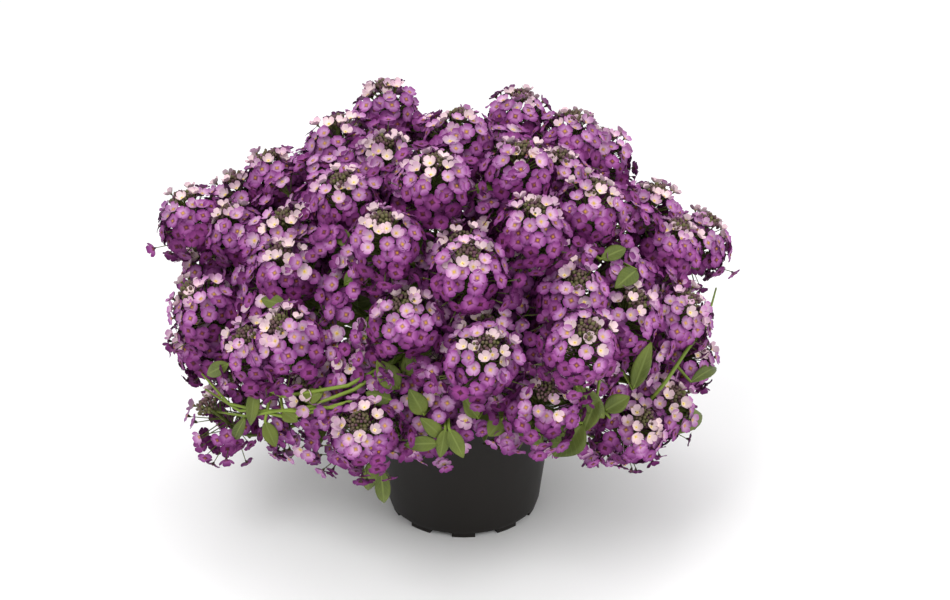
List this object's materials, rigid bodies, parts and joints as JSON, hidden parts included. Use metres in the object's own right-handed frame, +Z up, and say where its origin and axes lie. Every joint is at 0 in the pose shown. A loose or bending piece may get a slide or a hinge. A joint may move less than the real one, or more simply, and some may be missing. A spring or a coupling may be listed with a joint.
{
  "type": "sweet alyssum in a pot",
  "caption": "Bushy flowering sweet alyssum with domed heads of small purple four-petalled florets on leafy green stems, standing in a round dark plastic growing pot.",
  "frame": {"origin": "middle of the underside of the pot's centre foot, on the surface that the pot stands on", "axes": "+Z up along the pot's axis, -Y towards the side that the picture shows, +X to its right; the plant is widest along X"},
  "size_m": [0.3128, 0.2824, 0.2428],
  "materials": {
    "pot": "matt near-black moulded polypropylene with a soft sheen",
    "soil": "dark crumbly potting compost of peat and bark; stands in as wood",
    "green": "fresh olive-green leaves and stems, slightly downy; stands in as leather",
    "petals": "soft petals from pale pink through lilac to deep purple; stands in as fabric"
  },
  "bodies": {
    "root": {"head_01": "petals", "head_02": "petals", "head_03": "petals", "head_04": "petals", "head_05": "petals", "head_06": "petals", "head_07": "petals", "head_08": "petals", "head_09": "petals", "head_10": "petals", "head_11": "petals", "head_12": "petals", "head_13": "petals", "head_14": "petals", "head_15": "petals", "head_16": "petals", "head_17": "petals", "head_18": "petals", "head_19": "petals", "head_20": "petals", "head_21": "petals", "head_22": "petals", "head_23": "petals", "head_24": "petals", "head_25": "petals", "head_42": "petals", "head_45": "petals", "head_46": "petals", "head_47": "petals", "head_48": "petals", "head_49": "petals", "heads_26": "petals", "heads_27": "petals", "heads_28": "petals", "heads_29": "petals", "heads_30": "petals", "heads_31": "petals", "heads_32": "petals", "heads_33": "petals", "heads_34": "petals", "heads_35": "petals", "heads_36": "petals", "heads_37": "petals", "heads_38": "petals", "heads_39": "petals", "heads_40": "petals", "heads_41": "petals", "heads_43": "petals", "heads_44": "petals", "leafy_stem_1": "green", "leafy_stem_2": "green", "leafy_stem_3": "green", "leafy_stem_4": "green", "leafy_stem_5": "green", "leafy_stem_6": "green", "leafy_stem_7": "green", "leafy_stem_8": "green", "pot": "pot", "soil": "soil"}
  },
  "joints": []
}
